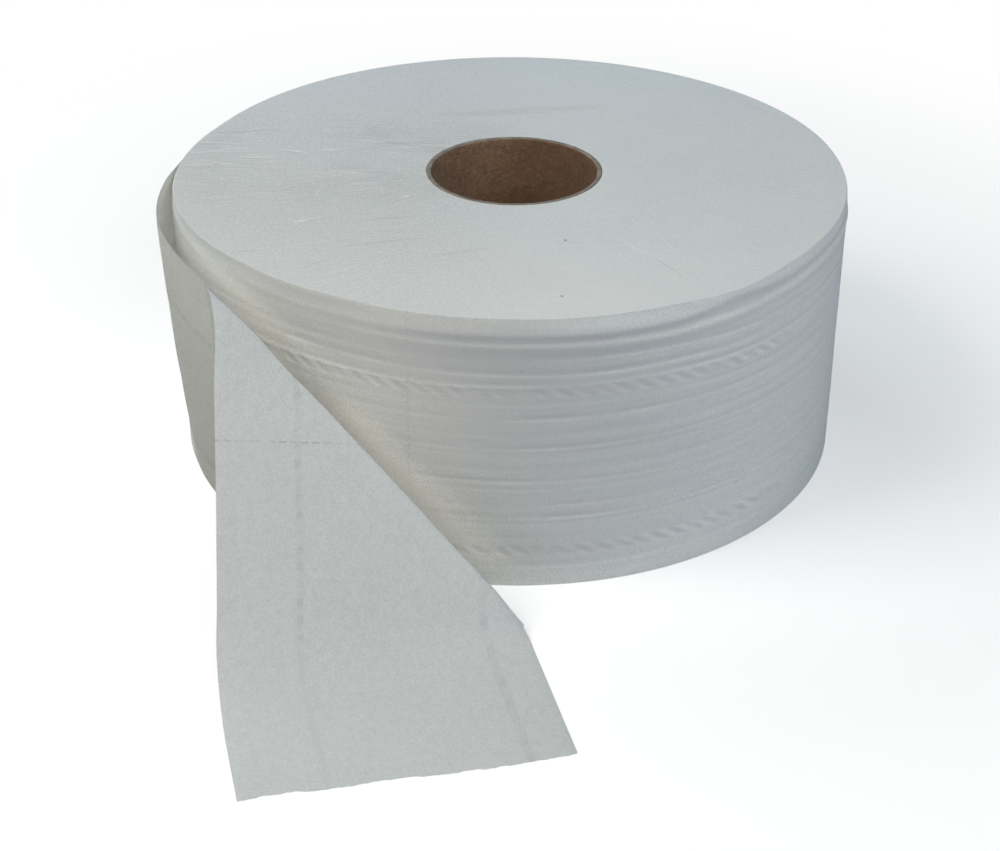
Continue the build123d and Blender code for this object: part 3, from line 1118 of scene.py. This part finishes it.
def board_material(name, cut):
    """The core's board: its brown faces, or its cut edge."""
    g = Graph(name)
    spot = g.spot()
    mottle = g.noise(spot, 160.0, 4.0, 0.62)
    fibre = g.noise(g.stretched(spot, 1.0, 1.0, 1.4), 700.0, 3.0, 0.65, 0.5)
    spread = g.step(mottle, 0.3, 0.7)
    if cut:
        shade = g.layers(
            g.mix(spread, (0.19, 0.165, 0.14), (0.36, 0.32, 0.275)),
            (g.step(fibre, 0.5, 0.7), 0.5, (0.412, 0.376, 0.341)),
        )
        relief = g.weighed((fibre, 0.9), (mottle, 0.6))
    else:
        fleck = g.noise(spot, 620.0, 1.0)
        # Painted shade: the board is darker and browner at the right
        right = g.step(g.parts(spot)[0], -0.014, 0.010)
        flat = g.parts(g.flat())
        turn = g.math("FRACT", g.over(g.minus(flat[1], g.times(flat[0], SEAM_CLIMB)), SEAM_RISE))
        seam = g.fall(g.apart(turn, 0.5), 0.001, 0.006)
        shade = g.layers(
            g.mix(spread, (0.281, 0.168, 0.100), (0.345, 0.213, 0.132)),
            (g.step(fibre, 0.50, 0.66), 0.55, (0.469, 0.315, 0.228)),
            (g.step(fibre, 0.48, 0.32), 0.55, (0.165, 0.096, 0.062)),
            (g.step(fleck, 0.72, 0.80), 0.7, (0.639, 0.483, 0.369)),
            (right, 0.58, (0.10, 0.055, 0.032)),
            (seam, 0.05, (0.099, 0.06, 0.043)),
        )
        relief = g.weighed((fibre, 0.6), (mottle, 0.35), (seam, -0.25))
    return g.finish(shade, g.bump(relief, 0.0003, 0.7), 0.9)


roll = new_object("wound_turns", roll_mesh(), "paper_roll")
roll.data.materials.append(web_material("side"))
roll.data.materials.append(sawn_material())

core = new_object("core_board", core_mesh(), "core_tube")
core.data.materials.append(board_material("board_bore", False))
core.data.materials.append(board_material("board_cut", True))

mesh, length = web_mesh()
web = new_object("loose_web", mesh, "paper_roll")
web.data.materials.append(web_material("tail"))
web.data.materials.append(web_material("standing"))


# Stage


def floor():
    """A pale floor, which the camera sees turn to white away from the roll."""
    size = 6.0
    corners = [(-size, -size, 0), (size, -size, 0), (size, size, 0), (-size, size, 0)]
    mesh = bpy.data.meshes.new("floor")
    mesh.from_pydata(corners, [], [(0, 1, 2, 3)])
    made = bpy.data.objects.new("floor", mesh)
    bpy.context.scene.collection.objects.link(made)
    g = Graph("floor")
    seen = g.node("ShaderNodeLightPath").outputs["Is Camera Ray"]
    color = g.mix(seen, (0.72, 0.72, 0.72), (0.98, 0.98, 0.98))
    lit = g.node("ShaderNodeBsdfDiffuse", {"Color": color}).outputs[0]
    near = g.node("ShaderNodeAddShader", {0: lit, 1: g.glow(g.times(seen, 0.36))}).outputs[0]
    away = g.step(g.length(g.stretched(g.spot(), 1.0, 0.85, 1.0)), 0.17, 0.42)
    surface = g.blend(g.times(seen, away), near, g.glow(1.0))
    g.tree.links.new(surface, g.output.inputs[0])
    mesh.materials.append(g.material)


floor()

LAMP_SIZE = 0.8
LAMP_TARGET = Vector((0, 0, 0.05))
# Name, place, power in watts and colour
LAMPS = (
    ("left_high", (-0.9, -0.35, 1.0), 7.15, (0.985, 0.972, 0.95)),
    ("left_front", (-0.7, -0.8, 1.1), 1.2, (1.0, 0.79, 0.46)),
    ("left_up", (-0.45, -0.25, 1.3), 1.8, (0.90, 0.98, 0.98)),
    ("front_right", (0.5, -1.2, 0.9), 5.9, (0.985, 0.98, 0.965)),
    ("right", (1.2, -0.6, 0.5), 2.9, (0.62, 0.79, 1.0)),
    ("back_left", (-0.8, 0.8, 0.8), 3.9, (0.89, 0.97, 1.0)),
)


def lamp(name, place, power, color):
    light = bpy.data.lights.new(name, "AREA")
    light.shape = "SQUARE"
    light.size = LAMP_SIZE
    light.energy = power
    light.color = color
    made = bpy.data.objects.new(name, light)
    bpy.context.scene.collection.objects.link(made)
    made.location = place
    made.rotation_euler = (LAMP_TARGET - Vector(place)).to_track_quat("-Z", "Y").to_euler()


for settings in LAMPS:
    lamp(*settings)


def world():
    """A faint blue sky, which the camera sees as white."""
    made = bpy.data.worlds.new("studio")
    bpy.context.scene.world = made
    made.use_nodes = True
    tree = made.node_tree
    tree.nodes.clear()
    path = tree.nodes.new("ShaderNodeLightPath")
    mixed = tree.nodes.new("ShaderNodeMixShader")
    tree.links.new(path.outputs["Is Camera Ray"], mixed.inputs[0])
    for index, strength, color in ((1, 0.05, (0.6, 0.85, 1.0, 1)), (2, 1.0, (1, 1, 1, 1))):
        background = tree.nodes.new("ShaderNodeBackground")
        background.inputs["Strength"].default_value = strength
        background.inputs["Color"].default_value = color
        tree.links.new(background.outputs[0], mixed.inputs[index])
    output = tree.nodes.new("ShaderNodeOutputWorld")
    tree.links.new(mixed.outputs[0], output.inputs[0])


world()

bpy.context.scene.view_settings.view_transform = "Standard"

# Camera, from the rims' and the core's ellipses in the photograph; its roll is in radians
ELEVATION = 29.8
CAMERA_ROLL = 0.00436
CAMERA_PLACE = (-0.00474, -0.69267, 0.38994)
camera = bpy.data.cameras.new("camera")
camera.sensor_width = 36.0
camera.lens = 74.0588
camera.clip_start = 0.01
eye = bpy.data.objects.new("camera", camera)
bpy.context.scene.collection.objects.link(eye)
pitch = Matrix.Rotation(math.radians(90 - ELEVATION), 4, "X")
eye.matrix_world = Matrix.Translation(CAMERA_PLACE) @ pitch @ Matrix.Rotation(CAMERA_ROLL, 4, "Z")
bpy.context.scene.camera = eye
